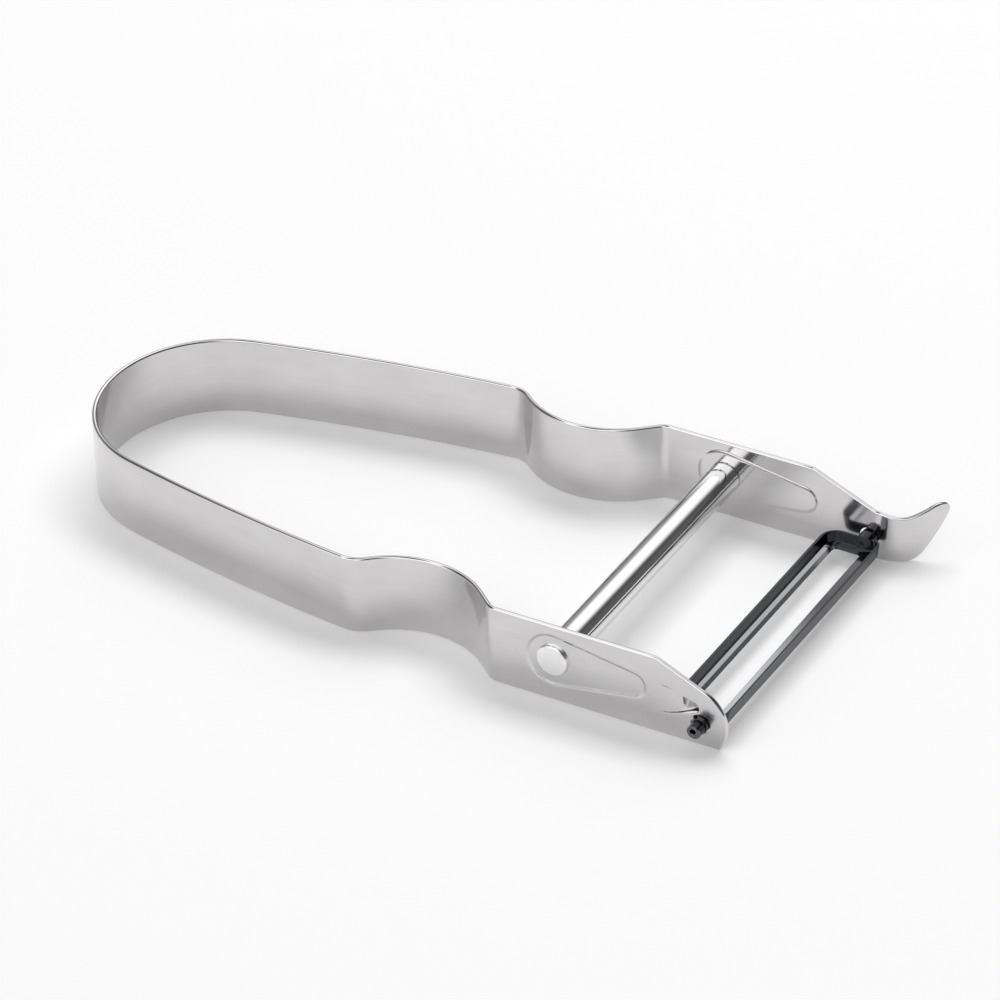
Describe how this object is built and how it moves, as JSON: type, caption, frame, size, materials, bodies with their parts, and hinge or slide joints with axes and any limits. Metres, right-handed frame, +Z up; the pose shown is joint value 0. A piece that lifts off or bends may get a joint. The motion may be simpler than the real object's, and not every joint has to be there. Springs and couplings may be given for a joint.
{
  "type": "vegetable peeler",
  "caption": "Swivel vegetable peeler: a looped one-strip steel handle with side plates, a crossbar, a slotted blade on rolled pins and a curled eye remover.",
  "frame": {"origin": "on the strip's lower edge, in the middle of its thickness, at the rear of the loop", "axes": "+X from the rear of the loop to the head, +Z up from the edge that the peeler lies on, +Y towards the plate with the eye remover"},
  "size_m": [0.1153, 0.0582, 0.012],
  "materials": {
    "polished_strip": "fine satin polish",
    "bright_tube": "bright polish",
    "rivet_steel": "bright polish",
    "blade_steel": "darkened, semi gloss"
  },
  "bodies": {
    "frame": {"strip_frame": "polished_strip", "spacer_tube": "bright_tube", "through_rivet": "rivet_steel"},
    "blade": {"swivel_blade": "blade_steel"}
  },
  "joints": [
    {"name": "blade_swivel", "type": "hinge", "parent": "frame", "child": "blade", "pos_m": [0.10615, 0, 0.0034], "axis": [0, 1, 0], "range_deg": [-74, 28]}
  ]
}
